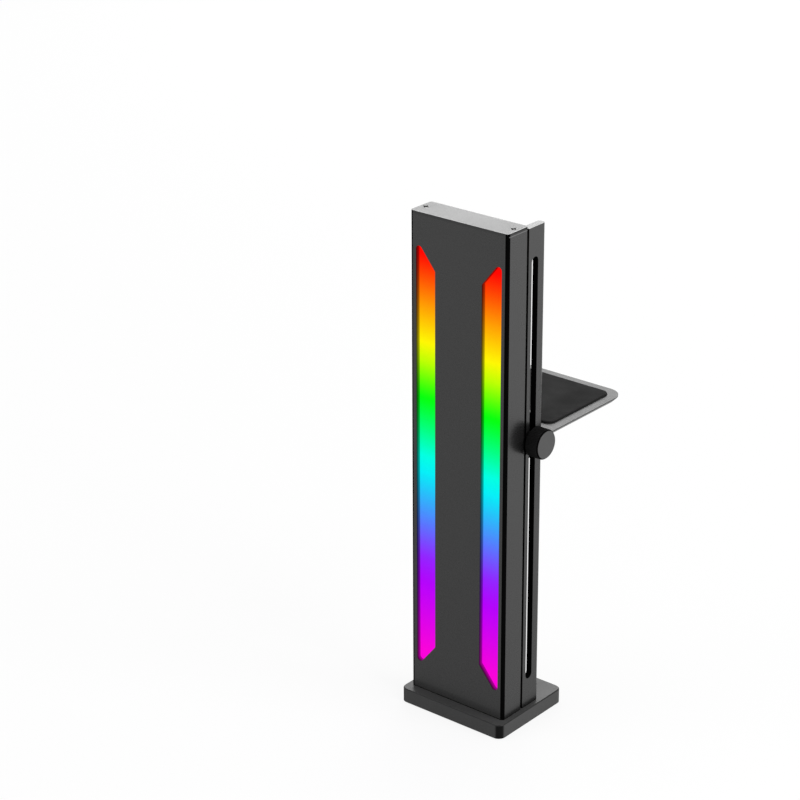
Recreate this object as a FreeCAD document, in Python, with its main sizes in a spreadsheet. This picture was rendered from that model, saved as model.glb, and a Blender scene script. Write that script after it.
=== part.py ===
import FreeCAD, Part
import os
import re
import Sketcher

# Free-standing support bracket with a tray that slides up and down.
# A slim light housing stands on a weighted base, with a slotted channel behind it.
# A carriage slides in the channel, carries the support tray and is clamped by a thumb screw
# that passes through the slot in the right-hand wall.
# Frame: millimetres, +Z up, light windows towards -Y, origin under the middle of the base.

SIZES = {
    # base
    "base_width": 44.0,
    "base_depth": 35.5,
    "base_thick": 5.2,
    "base_corner": 2.7,
    "base_edge": 0.3,
    "foot_thick": 0.8,
    "foot_recess": 0.5,
    "foot_margin": 1.5,
    "magnet_long": 14.0,
    "magnet_wide": 9.0,
    "magnet_thick": 2.5,
    "magnet_inset": 2.5,
    "outlet_wide": 4.4,
    "outlet_high": 2.9,
    "grommet_long": 5.0,
    "grommet_bore": 1.8,
    # light housing
    "column_width": 40.0,
    "column_height": 174.2,
    "front_margin": 3.95,
    "housing_depth": 10.7,
    "front_wall": 1.8,
    "side_wall": 1.6,
    "back_wall": 1.5,
    "corner_round": 1.1,
    "port_wide": 3.6,
    "port_hole": 2.05,
    "port_spread": 17.9,
    "port_depth": 5.5,
    # light windows and what is behind them
    "window_margin": 2.4,
    "window_width": 8.0,
    "window_low": 18.2,
    "window_top_gap": 18.1,
    "window_slant": 9.9,
    "window_tip_round": 1.3,
    "window_inner_round": 0.8,
    "diffuser_thick": 1.6,
    "diffuser_overlap": 0.6,
    "diffuser_slack": 0.15,
    "rib_thick": 0.8,
    "rib_lip": 1.0,
    "board_width": 4.8,
    "board_thick": 0.8,
    "chip_wide": 2.8,
    "chip_high": 3.5,
    "chip_thick": 1.4,
    "chip_end_gap": 3.2,
    "link_thick": 0.3,
    "link_rise": 1.5,
    "link_high": 5.0,
    # joint strip and cap
    "strip_thick": 0.2,
    "strip_inset": 2.0,
    "cap_thick": 1.0,
    # rear channel
    "channel_depth": 9.0,
    "channel_wall": 2.9,
    "channel_web": 1.0,
    "channel_lip": 1.2,
    "channel_end_round": 1.2,
    "channel_inner_round": 0.8,
    "slot_width": 3.4,
    "slot_offset": 3.42,
    "slot_low": 10.4,
    "slot_top_gap": 10.2,
    "track_width": 5.8,
    "track_depth": 0.7,
    "track_overrun": 1.7,
    # carriage and tray
    "arm_height": 105.2,
    "carriage_gap": 0.3,
    "carriage_depth": 6.6,
    "carriage_below": 8.2,
    "carriage_above": 8.3,
    "carriage_round": 1.2,
    "tongue_width": 20.0,
    "tongue_reach": 12.0,
    "tongue_thick": 8.0,
    "tray_width": 47.0,
    "tray_depth": 42.0,
    "tray_thick": 2.0,
    "tray_rise": 0.2,
    "tray_gap": 0.5,
    "tray_bevel": 1.6,
    "tray_corner": 6.0,
    "tray_front_corner": 0.6,
    "rest_front": 3.8,
    "rest_margin": 3.5,
    "rest_thick": 1.0,
    "rest_recess": 0.4,
    "rest_corner": 3.0,
    # thumb screw
    "clamp_gap": 0.12,
    "washer_thick": 0.5,
    "washer_wide": 7.4,
    "head_wide": 10.4,
    "head_long": 5.3,
    "head_neck": 0.5,
    "head_edge": 0.4,
    "stud_wide": 3.0,
    "stud_seat": 3.5,
    "thread_long": 5.5,
    "running_gap": 0.05,
    "seat_gap": 0.02,
    # small screws
    "cap_screw_head": 3.0,
    "cap_screw_shank": 1.95,
    "cap_screw_long": 6.0,
    "base_screw_head": 4.3,
    "base_screw_head_high": 1.6,
    "base_screw_long": 10.0,
    "channel_screw_head": 3.6,
    "channel_screw_long": 3.7,
    "tray_screw_head": 5.2,
    "tray_screw_shank": 2.9,
    "tray_screw_long": 7.0,
    "hole_gap": 0.2,
}

# Levels and faces worked out from the sizes above
BASE_UNDERSIDE = "(foot_thick - foot_recess)"
BASE_TOP = f"({BASE_UNDERSIDE} + base_thick)"
COLUMN_TOP = f"({BASE_TOP} + column_height)"
HOUSING_FRONT = "(front_margin - base_depth / 2)"
STRIP_FRONT = f"({HOUSING_FRONT} + housing_depth)"
CHANNEL_FRONT = f"({STRIP_FRONT} + strip_thick)"
CHANNEL_BACK = f"({CHANNEL_FRONT} + channel_depth)"
SLOT_MIDDLE = f"({CHANNEL_FRONT} + slot_offset)"
CARRIAGE_FRONT = f"({CHANNEL_FRONT} + channel_web + carriage_gap)"
CARRIAGE_HALF = "(column_width / 2 - channel_wall - carriage_gap)"
TRAY_FRONT = f"({CHANNEL_BACK} + tray_gap)"
TRAY_UNDERSIDE = "(arm_height + tray_rise)"
BOARD_MIDDLE = "(column_width / 2 - window_margin - window_width / 2 - 0.1)"
BOARD_BACK = f"({HOUSING_FRONT} + housing_depth - back_wall)"
DIFFUSER_INNER = "(column_width / 2 - window_margin - window_width - diffuser_overlap)"
DIFFUSER_OUTER = "(column_width / 2 - side_wall - diffuser_slack)"
WINDOW_HIGH = "(column_height - window_top_gap)"
MAGNET_END = "(base_width / 2 - foot_margin - magnet_inset)"
SLOT_HIGH = "(column_height - slot_top_gap)"
LIGHT_LOW = "(window_low - window_slant + 1)"
LIGHT_HIGH = f"({WINDOW_HIGH} + window_slant - 1)"

CHANNEL_SCREW_COUNT = 3
CHIP_COUNT = 15

doc = FreeCAD.newDocument("Support_bracket")
sheet = doc.addObject("Spreadsheet::Sheet", "Sizes")
for row, (alias, value) in enumerate(SIZES.items(), start=1):
    sheet.set(f"A{row}", alias)
    sheet.set(f"B{row}", str(value))
    sheet.setAlias(f"B{row}", alias)
doc.recompute()


def in_sheet(expression):
    """The expression with every size name pointed at the sheet."""
    return re.sub(r"[a-z_]+", lambda word: "Sizes." + word[0] if word[0] in SIZES else word[0], expression)


def number(expression):
    """The value that an expression has now."""
    return float(sheet.evalExpression(in_sheet(expression)))


def bind(thing, **expressions):
    for name, expression in expressions.items():
        thing.setExpression(name, in_sheet(expression))


def place(thing, x="0", y="0", z="0", rotation=None):
    """Puts a sub-part at its seat in the common frame."""
    thing.Placement = FreeCAD.Placement(FreeCAD.Vector(), rotation or FreeCAD.Rotation())
    thing.setExpression("Placement.Base.x", in_sheet(x))
    thing.setExpression("Placement.Base.y", in_sheet(y))
    thing.setExpression("Placement.Base.z", in_sheet(z))


def new_body(name):
    body = doc.addObject("PartDesign::Body", name)
    body.Label = name
    return body


def origin_plane(body, role):
    return next(feature for feature in body.Origin.OriginFeatures if feature.Role == role)


def new_sketch(body, name, role="XY_Plane", offset=None):
    """A sketch on one of the body's own origin planes, shifted along the plane's normal."""
    sketch = body.newObject("Sketcher::SketchObject", f"{body.Name}_{name}_sketch")
    sketch.AttachmentSupport = [(origin_plane(body, role), "")]
    sketch.MapMode = "FlatFace"
    if offset:
        sketch.setExpression("AttachmentOffset.Base.z", in_sheet(offset))
    return sketch


def pin_point(sketch, name, geometry, point, x, y):
    """Holds one point of the sketch at expressions for its two coordinates."""
    for kind, axis, expression in (("DistanceX", "x", x), ("DistanceY", "y", y)):
        constraint = Sketcher.Constraint(kind, -1, 1, geometry, point, number(expression))
        index = sketch.addConstraint(constraint)
        sketch.renameConstraint(index, f"{name}_{axis}")
        sketch.setExpression(f"Constraints.{name}_{axis}", in_sheet(expression))


def draw_polygon(sketch, name, corners):
    """A closed outline of straight lines through corners given as pairs of expressions."""
    points = [FreeCAD.Vector(number(x), number(y), 0) for x, y in corners]
    lines = []
    for start, end in zip(points, points[1:] + points[:1]):
        lines.append(sketch.addGeometry(Part.LineSegment(start, end), False))
    for line, following in zip(lines, lines[1:] + lines[:1]):
        sketch.addConstraint(Sketcher.Constraint("Coincident", line, 2, following, 1))
    for index, (line, (x, y)) in enumerate(zip(lines, corners)):
        pin_point(sketch, f"{name}{index}", line, 1, x, y)


def draw_rectangle(sketch, name, left, right, low, high):
    draw_polygon(sketch, name, [(left, low), (right, low), (right, high), (left, high)])


def draw_circle(sketch, name, x, y, diameter):
    centre = FreeCAD.Vector(number(x), number(y), 0)
    circle = Part.Circle(centre, FreeCAD.Vector(0, 0, 1), number(diameter) / 2)
    geometry = sketch.addGeometry(circle, False)
    pin_point(sketch, name, geometry, 3, x, y)
    index = sketch.addConstraint(Sketcher.Constraint("Diameter", geometry, number(diameter)))
    sketch.renameConstraint(index, f"{name}_wide")
    sketch.setExpression(f"Constraints.{name}_wide", in_sheet(diameter))


def draw_slot(sketch, name, x, low, high, width):
    """An upright slot with round ends, from its lowest point to its highest."""
    radius = f"({width}) / 2"
    middle = number(x)
    reach = number(radius)
    bottom = FreeCAD.Vector(middle, number(low) + reach, 0)
    top = FreeCAD.Vector(middle, number(high) - reach, 0)
    side = FreeCAD.Vector(reach, 0, 0)
    lift = FreeCAD.Vector(0, reach, 0)
    upper = sketch.addGeometry(Part.Arc(top + side, top + lift, top - side), False)
    lower = sketch.addGeometry(Part.Arc(bottom - side, bottom - lift, bottom + side), False)
    right = sketch.addGeometry(Part.LineSegment(bottom + side, top + side), False)
    left = sketch.addGeometry(Part.LineSegment(top - side, bottom - side), False)
    sketch.addConstraint(Sketcher.Constraint("Tangent", upper, 1, right, 2))
    sketch.addConstraint(Sketcher.Constraint("Tangent", upper, 2, left, 1))
    sketch.addConstraint(Sketcher.Constraint("Tangent", lower, 1, left, 2))
    sketch.addConstraint(Sketcher.Constraint("Tangent", lower, 2, right, 1))
    sketch.addConstraint(Sketcher.Constraint("Vertical", right))
    pin_point(sketch, f"{name}_top", upper, 3, x, f"{high} - {radius}")
    pin_point(sketch, f"{name}_bottom", lower, 3, x, f"{low} + {radius}")
    index = sketch.addConstraint(Sketcher.Constraint("Radius", lower, reach))
    sketch.renameConstraint(index, f"{name}_round")
    sketch.setExpression(f"Constraints.{name}_round", in_sheet(radius))


def add_pad(body, name, sketch, length, backwards=False):
    pad = body.newObject("PartDesign::Pad", f"{body.Name}_{name}")
    pad.Profile = sketch
    pad.Reversed = backwards
    bind(pad, Length=length)
    doc.recompute()
    return pad


def add_cut(body, name, sketch, length, backwards=False):
    """A pocket, which must take material away."""
    before = body.Tip.Shape.Volume
    pocket = body.newObject("PartDesign::Pocket", f"{body.Name}_{name}")
    pocket.Profile = sketch
    pocket.Reversed = backwards
    bind(pocket, Length=length)
    doc.recompute()
    if pocket.Shape.Volume > before - 1e-6:
        raise RuntimeError(f"{pocket.Name} removes nothing")
    return pocket


def edges_where(feature, wanted):
    """The names of the feature's edges that pass the test."""
    return [f"Edge{index}" for index, edge in enumerate(feature.Shape.Edges, start=1) if wanted(edge)]


def near(value, expression):
    return abs(value - number(expression)) < 1e-4


def runs_along(edge, axis):
    """True for a straight edge parallel to the x, y or z axis."""
    if not isinstance(edge.Curve, Part.Line):
        return False
    return abs(abs(getattr(edge.Curve.Direction, axis)) - 1) < 1e-6


def is_hole_rim(edge):
    """True for a whole circle."""
    return isinstance(edge.Curve, Part.Circle) and edge.isClosed()


def at(edge, **levels):
    """True when all of the edge lies at the given levels, such as z="base_thick"."""
    box = edge.BoundBox
    return all(
        near(getattr(box, f"{axis.upper()}Min"), level) and near(getattr(box, f"{axis.upper()}Max"), level)
        for axis, level in levels.items()
    )


def dress(body, kind, name, edges, size):
    """A fillet or chamfer along named edges of the body's last feature."""
    base = body.Tip
    feature = body.newObject(f"PartDesign::{kind}", f"{body.Name}_{name}")
    feature.Base = (base, edges_where(base, edges))
    bind(feature, **{"Radius" if kind == "Fillet" else "Size": size})
    doc.recompute()
    return feature


def copies(name, template, places, rotation=None):
    """One sub-part made of separate copies of a template at the listed seats."""
    links = []
    for index, (x, y, z) in enumerate(places, start=1):
        link = doc.addObject("App::Link", f"{name}_{index}")
        link.LinkedObject = template
        place(link, x, y, z, rotation)
        links.append(link)
    group = doc.addObject("Part::Compound", name)
    group.Label = name
    group.Links = links
    return group


def new_block(name, x, y, z, length, width, height):
    block = doc.addObject("Part::Box", name)
    block.Label = name
    bind(block, Length=length, Width=width, Height=height)
    place(block, x, y, z)
    return block


def new_tube(name, outer, inner, length, x, y, z):
    """A ring or sleeve whose axis lies along X, starting at its low-X face."""
    walls = []
    for part, diameter in (("outside", outer), ("bore", inner)):
        cylinder = doc.addObject("Part::Cylinder", f"{name}_{part}")
        bind(cylinder, Radius=f"({diameter}) / 2", Height=length)
        walls.append(cylinder)
    tube = doc.addObject("Part::Cut", name)
    tube.Label = name
    tube.Base, tube.Tool = walls
    place(tube, x, y, z, FreeCAD.Rotation(FreeCAD.Vector(0, 1, 0), 90))
    return tube


def countersunk_screw(name, head, shank, length):
    """A screw with its flat head face at z = 0 and its shank towards -Z."""
    body = new_body(name)
    profile = new_sketch(body, "profile", "XZ_Plane")
    cone = f"({head} - {shank}) / 2"
    draw_polygon(profile, "side", [
        ("0", f"-({length})"),
        (f"{shank} / 2", f"-({length})"),
        (f"{shank} / 2", f"-({cone})"),
        (f"{head} / 2 - seat_gap", "0"),
        ("0", "0"),
    ])
    turn(body, "shank", profile, "V_Axis")
    return body


def turn(body, name, sketch, axis):
    """A full revolution about one of the sketch's own axes."""
    feature = body.newObject("PartDesign::Revolution", f"{body.Name}_{name}")
    feature.Profile = sketch
    feature.ReferenceAxis = (sketch, [axis])
    feature.Angle = 360
    doc.recompute()
    return feature


def cut_cross(body, wide, slit, depth):
    """A cross recess in the face at z = 0."""
    sketch = new_sketch(body, "cross")
    arm = f"({wide}) / 2"
    half = f"({slit}) / 2"
    draw_polygon(sketch, "cross", [
        (f"-{arm}", f"-{half}"), (f"-{half}", f"-{half}"), (f"-{half}", f"-{arm}"),
        (half, f"-{arm}"), (half, f"-{half}"), (arm, f"-{half}"),
        (arm, half), (half, half), (half, arm),
        (f"-{half}", arm), (f"-{half}", half), (f"-{arm}", half),
    ])
    add_cut(body, "recess", sketch, depth)


def cut_hexagon(body, across, depth, backwards=False, offset=None):
    """A hexagon socket, sized by its width across the corners."""
    sketch = new_sketch(body, "hexagon", offset=offset)
    arm = f"({across}) / 2"
    rise = f"{arm} * 0.866"
    draw_polygon(sketch, "socket", [
        (arm, "0"), (f"{arm} / 2", rise), (f"-{arm} / 2", rise),
        (f"-{arm}", "0"), (f"-{arm} / 2", f"-{rise}"), (f"{arm} / 2", f"-{rise}"),
    ])
    add_cut(body, "socket", sketch, depth, backwards)


def port_places():
    """The housing's two screw ports, which take the cap screws above and the base screws below."""
    return [(f"{sign}port_spread", f"({HOUSING_FRONT} + port_depth)") for sign in ("", "-")]


def channel_screw_heights():
    """Heights of the screws that join channel, strip and housing, above the column's foot."""
    gap = f"column_height / {CHANNEL_SCREW_COUNT}"
    return [f"{gap} * {index + 0.5}" for index in range(CHANNEL_SCREW_COUNT)]


def make_base_plate():
    body = new_body("base_plate")
    outline = new_sketch(body, "outline")
    draw_rectangle(
        outline, "plate",
        "-base_width / 2", "base_width / 2", "-base_depth / 2", "base_depth / 2",
    )
    add_pad(body, "plate", outline, "base_thick")
    dress(body, "Fillet", "corners", lambda edge: runs_along(edge, "z"), "base_corner")
    dress(body, "Chamfer", "edge", lambda edge: at(edge, z="base_thick"), "base_edge")
    recess = new_sketch(body, "foot")
    draw_rectangle(
        recess, "foot",
        "foot_margin - base_width / 2", "base_width / 2 - foot_margin",
        "foot_margin - base_depth / 2", "base_depth / 2 - foot_margin",
    )
    add_cut(body, "foot_recess", recess, "foot_recess", backwards=True)
    magnets = new_sketch(body, "magnets")
    for side, start in (("left", f"-({MAGNET_END})"), ("right", f"{MAGNET_END} - magnet_long")):
        draw_rectangle(
            magnets, side,
            f"{start} - running_gap", f"{start} + magnet_long + running_gap",
            "-running_gap", "magnet_wide + running_gap",
        )
    add_cut(body, "magnet_pockets", magnets, "foot_recess + magnet_thick", backwards=True)
    bores = new_sketch(body, "bores")
    heads = new_sketch(body, "heads")
    for index, (x, y) in enumerate(port_places()):
        draw_circle(bores, f"bore{index}", x, y, "port_hole + hole_gap")
        draw_circle(heads, f"head{index}", x, y, "base_screw_head + hole_gap")
    draw_rectangle(
        bores, "lead", "-outlet_wide / 2", "outlet_wide / 2",
        f"{HOUSING_FRONT} + front_wall + 1", f"{HOUSING_FRONT} + front_wall + 1 + outlet_wide",
    )
    add_cut(body, "screw_bores", bores, "base_thick", backwards=True)
    add_cut(body, "screw_heads", heads, "foot_recess + base_screw_head_high", backwards=True)
    groove = new_sketch(body, "groove")
    draw_rectangle(
        groove, "groove",
        "-outlet_wide / 2", "outlet_wide / 2",
        f"{HOUSING_FRONT} + front_wall + 1", "base_depth / 2",
    )
    add_cut(body, "lead_groove", groove, "foot_recess + outlet_high", backwards=True)
    place(body, z=BASE_UNDERSIDE)
    return body


def make_base_magnets():
    """Two bar magnets that hold the base on a steel floor, one each side of the lead groove."""
    bar = doc.addObject("Part::Box", "magnet_bar")
    bind(bar, Length="magnet_long", Width="magnet_wide", Height="magnet_thick")
    starts = (f"-({MAGNET_END})", f"{MAGNET_END} - magnet_long")
    return copies("base_magnets", bar, [(x, "0", "foot_thick") for x in starts])


def make_anti_slip_sheet():
    body = new_body("anti_slip_sheet")
    outline = new_sketch(body, "outline")
    draw_rectangle(
        outline, "sheet",
        "foot_margin + running_gap - base_width / 2", "base_width / 2 - foot_margin - running_gap",
        "foot_margin + running_gap - base_depth / 2", "base_depth / 2 - foot_margin - running_gap",
    )
    add_pad(body, "sheet", outline, "foot_thick")
    return body


def make_base_screws():
    body = new_body("base_screw")
    profile = new_sketch(body, "profile", "XZ_Plane")
    draw_polygon(profile, "side", [
        ("0", "-base_screw_head_high"),
        ("base_screw_head / 2", "-base_screw_head_high"),
        ("base_screw_head / 2", "0"),
        ("port_hole / 2 - running_gap", "0"),
        ("port_hole / 2 - running_gap", "base_screw_long"),
        ("0", "base_screw_long"),
    ])
    turn(body, "shank", profile, "V_Axis")
    cut_hexagon(body, "base_screw_head / 2", "base_screw_head_high / 2", True, "-base_screw_head_high")
    level = f"{BASE_UNDERSIDE} + foot_recess + base_screw_head_high"
    return copies("base_screws", body, [(x, y, level) for x, y in port_places()])


def make_cable_grommet():
    """A rubber bush in the groove under the base, where a lead would leave the bracket."""
    shell = doc.addObject("Part::Box", "grommet_block")
    bind(shell, Length="outlet_wide - 2 * seat_gap", Width="grommet_long", Height="outlet_high - seat_gap")
    bore = doc.addObject("Part::Cylinder", "grommet_hole")
    bind(bore, Radius="grommet_bore / 2", Height="grommet_long")
    place(
        bore, "outlet_wide / 2 - seat_gap", "0", "outlet_high / 2",
        FreeCAD.Rotation(FreeCAD.Vector(1, 0, 0), -90),
    )
    grommet = doc.addObject("Part::Cut", "cable_grommet")
    grommet.Label = "cable_grommet"
    grommet.Base = shell
    grommet.Tool = bore
    place(grommet, "seat_gap - outlet_wide / 2", "base_depth / 2 - grommet_long", "foot_thick")
    return grommet


def draw_window(sketch, side):
    """One light window: upright sides and ends that slant away from the middle of the front."""
    sign = "" if side == "right" else "-"
    outer = f"{sign}(column_width / 2 - window_margin)"
    inner = f"{sign}(column_width / 2 - window_margin - window_width)"
    draw_polygon(sketch, side, [
        (inner, "window_low"),
        (outer, "window_low - window_slant"),
        (outer, f"{WINDOW_HIGH} + window_slant"),
        (inner, WINDOW_HIGH),
    ])


def draw_guide_rib(sketch, side):
    """A hooked rib beside the window, behind which the light bar is slid in."""
    sign = "" if side == "right" else "-"
    far = f"{sign}({DIFFUSER_INNER} - diffuser_slack)"
    root = f"{sign}({DIFFUSER_INNER} - diffuser_slack - rib_thick)"
    lip = f"{sign}({DIFFUSER_INNER} - diffuser_slack + rib_lip)"
    hook = "front_wall + diffuser_thick + diffuser_slack"
    draw_polygon(sketch, f"rib_{side}", [
        (root, "front_wall / 2"), (far, "front_wall / 2"), (far, hook),
        (lip, hook), (lip, f"{hook} + rib_thick"), (root, f"{hook} + rib_thick"),
    ])


def make_led_housing():
    """An extruded box with two screw ports, two hooked ribs and two slanted windows."""
    body = new_body("led_housing")
    profile = new_sketch(body, "profile")
    draw_rectangle(profile, "outside", "-column_width / 2", "column_width / 2", "0", "housing_depth")
    draw_rectangle(
        profile, "inside",
        "side_wall - column_width / 2", "column_width / 2 - side_wall",
        "front_wall", "housing_depth - back_wall",
    )
    add_pad(body, "box", profile, "column_height")
    ports = new_sketch(body, "ports")
    holes = new_sketch(body, "holes")
    for side, sign in (("right", ""), ("left", "-")):
        draw_circle(ports, side, f"{sign}port_spread", "port_depth", "port_wide")
        draw_circle(holes, side, f"{sign}port_spread", "port_depth", "port_hole")
    add_pad(body, "screw_ports", ports, "column_height")
    add_cut(body, "port_holes", holes, "column_height", backwards=True)
    ribs = new_sketch(body, "ribs")
    for side in ("right", "left"):
        draw_guide_rib(ribs, side)
    add_pad(body, "guide_ribs", ribs, "column_height")
    dress(
        body, "Fillet", "outer_corners",
        lambda edge: runs_along(edge, "z") and near(abs(edge.BoundBox.XMin), "column_width / 2"),
        "corner_round",
    )
    windows = new_sketch(body, "windows", "XZ_Plane")
    for side in ("right", "left"):
        draw_window(windows, side)
    add_cut(body, "light_windows", windows, "front_wall + 0.3")
    outer = "column_width / 2 - window_margin"
    dress(
        body, "Fillet", "window_tips",
        lambda edge: runs_along(edge, "y") and near(abs(edge.BoundBox.XMin), outer),
        "window_tip_round",
    )
    dress(
        body, "Fillet", "window_bends",
        lambda edge: runs_along(edge, "y") and near(abs(edge.BoundBox.XMin), f"{outer} - window_width")
        and near(edge.BoundBox.YMin, "0"),
        "window_inner_round",
    )
    back = new_sketch(body, "back_holes", "XZ_Plane", offset="-housing_depth")
    for index, height in enumerate(channel_screw_heights()):
        draw_circle(back, f"hole{index}", "0", height, "port_hole")
    add_cut(body, "back_holes", back, "back_wall + 0.2", backwards=True)
    place(body, y=HOUSING_FRONT, z=BASE_TOP)
    return body


def make_light_bar(side):
    """The milky strip behind one window."""
    start = DIFFUSER_INNER if side == "right" else f"-{DIFFUSER_OUTER}"
    return new_block(
        f"light_bar_{side}",
        start, f"{HOUSING_FRONT} + front_wall", f"{BASE_TOP} + {LIGHT_LOW} - 4",
        f"{DIFFUSER_OUTER} - {DIFFUSER_INNER}", "diffuser_thick", f"{LIGHT_HIGH} - {LIGHT_LOW} + 8",
    )


def make_light_board(side):
    middle = BOARD_MIDDLE if side == "right" else f"-{BOARD_MIDDLE}"
    return new_block(
        f"light_board_{side}",
        f"{middle} - board_width / 2", f"{BOARD_BACK} - board_thick", f"{BASE_TOP} + 2",
        "board_width", "board_thick", f"{LIGHT_HIGH} + 4",
    )


def make_light_chips(side, chip):
    middle = BOARD_MIDDLE if side == "right" else f"-{BOARD_MIDDLE}"
    span = f"({LIGHT_HIGH} - {LIGHT_LOW} - chip_high - 2 * chip_end_gap)"
    places = []
    for index in range(CHIP_COUNT):
        places.append((
            f"{middle} - chip_wide / 2",
            f"{BOARD_BACK} - board_thick - chip_thick",
            f"{BASE_TOP} + {LIGHT_LOW} + chip_end_gap + {span} * {index} / {CHIP_COUNT - 1}",
        ))
    return copies(f"light_chips_{side}", chip, places)


def make_board_link():
    """The flat flexible lead that joins the two boards in a shallow bridge."""
    body = new_body("board_link")
    outline = new_sketch(body, "outline")
    end = f"({BOARD_MIDDLE} - board_width / 2 + 1)"
    bend = f"({end} - 2 * link_rise)"
    face = "(housing_depth - back_wall - board_thick)"
    far_end = f"({end} + 2 * link_thick)"
    far_bend = f"({bend} + link_thick / 2)"
    near_side = f"{face} - link_rise"
    far_side = f"{face} - link_rise - link_thick"
    draw_polygon(outline, "band", [
        (f"-{end}", face), (f"-{bend}", near_side), (bend, near_side), (end, face),
        (far_end, face), (far_bend, far_side), (f"-{far_bend}", far_side), (f"-{far_end}", face),
    ])
    add_pad(body, "band", outline, "link_high")
    place(body, y=HOUSING_FRONT, z=f"{BASE_TOP} + 3")
    return body


def make_joint_strip():
    """The inset strip between housing and channel, seen as a narrow dark joint."""
    body = new_body("joint_strip")
    outline = new_sketch(body, "outline")
    draw_rectangle(
        outline, "strip",
        "strip_inset - column_width / 2", "column_width / 2 - strip_inset", "0", "strip_thick",
    )
    add_pad(body, "strip", outline, "column_height")
    holes = new_sketch(body, "holes", "XZ_Plane")
    for index, height in enumerate(channel_screw_heights()):
        draw_circle(holes, f"hole{index}", "0", height, "port_hole + hole_gap")
    add_cut(body, "holes", holes, "strip_thick")
    place(body, y=STRIP_FRONT, z=BASE_TOP)
    return body


def make_top_cap():
    body = new_body("top_cap")
    outline = new_sketch(body, "outline")
    draw_rectangle(
        outline, "plate",
        "-column_width / 2", "column_width / 2", "0", "housing_depth",
    )
    add_pad(body, "plate", outline, "cap_thick")
    dress(body, "Fillet", "corners", lambda edge: runs_along(edge, "z"), "corner_round")
    holes = new_sketch(body, "holes")
    for side, sign in (("right", ""), ("left", "-")):
        draw_circle(holes, side, f"{sign}port_spread", "port_depth", "cap_screw_shank + hole_gap")
    add_cut(body, "holes", holes, "cap_thick", backwards=True)
    dress(
        body, "Chamfer", "countersinks",
        lambda edge: is_hole_rim(edge) and at(edge, z="cap_thick"),
        "(cap_screw_head - cap_screw_shank - hole_gap) / 2",
    )
    place(body, y=HOUSING_FRONT, z=COLUMN_TOP)
    return body


def make_cap_screws():
    body = countersunk_screw("cap_screw", "cap_screw_head", "cap_screw_shank", "cap_screw_long")
    cut_cross(body, "cap_screw_head * 0.72", "cap_screw_head * 0.2", "cap_screw_head * 0.18")
    return copies("cap_screws", body, [(x, y, f"{COLUMN_TOP} + cap_thick") for x, y in port_places()])


def make_rear_channel():
    """A channel open to the back: a low lip on the left, and on the right a full wall
    with the clamp slot and its inner track."""
    body = new_body("rear_channel")
    half = "column_width / 2"
    lip = "channel_web + channel_lip"
    profile = new_sketch(body, "profile")
    draw_polygon(profile, "section", [
        (f"-{half}", "0"), (half, "0"), (half, "channel_depth"),
        (f"{half} - channel_wall", "channel_depth"), (f"{half} - channel_wall", "channel_web"),
        (f"channel_wall - {half}", "channel_web"), (f"channel_wall - {half}", lip), (f"-{half}", lip),
    ])
    add_pad(body, "section", profile, "column_height")
    dress(
        body, "Fillet", "wall_ends",
        lambda edge: runs_along(edge, "z") and at(edge, y="channel_depth"),
        "channel_end_round",
    )
    dress(
        body, "Fillet", "inner_corners",
        lambda edge: runs_along(edge, "z") and at(edge, y="channel_web"),
        "channel_inner_round",
    )
    track = new_sketch(body, "track", "YZ_Plane", offset=f"{half} - channel_wall - 0.5")
    draw_slot(
        track, "track", "channel_web + track_width / 2",
        "slot_low - track_overrun", f"{SLOT_HIGH} + track_overrun", "track_width",
    )
    add_cut(body, "track", track, "track_depth + 0.5", backwards=True)
    slot = new_sketch(body, "slot", "YZ_Plane")
    draw_slot(slot, "slot", "slot_offset", "slot_low", SLOT_HIGH, "slot_width")
    add_cut(body, "slot", slot, f"{half} + 1", backwards=True)
    holes = new_sketch(body, "holes", "XZ_Plane")
    for index, height in enumerate(channel_screw_heights()):
        draw_circle(holes, f"hole{index}", "0", height, "port_hole + hole_gap")
    add_cut(body, "holes", holes, "channel_web + 0.5")
    dress(
        body, "Chamfer", "countersinks",
        lambda edge: is_hole_rim(edge) and at(edge, y="channel_web"),
        "(channel_screw_head - port_hole - hole_gap) / 2",
    )
    place(body, y=CHANNEL_FRONT, z=BASE_TOP)
    return body


def make_channel_screws():
    shank = "(port_hole - 2 * running_gap)"
    body = countersunk_screw("channel_screw", "channel_screw_head", shank, "channel_screw_long")
    cut_hexagon(body, "channel_screw_head * 0.45", "0.7")
    seats = []
    for height in channel_screw_heights():
        seats.append(("0", f"{CHANNEL_FRONT} + channel_web", f"{BASE_TOP} + {height}"))
    facing_back = FreeCAD.Rotation(FreeCAD.Vector(1, 0, 0), -90)
    return copies("channel_screws", body, seats, facing_back)


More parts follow.
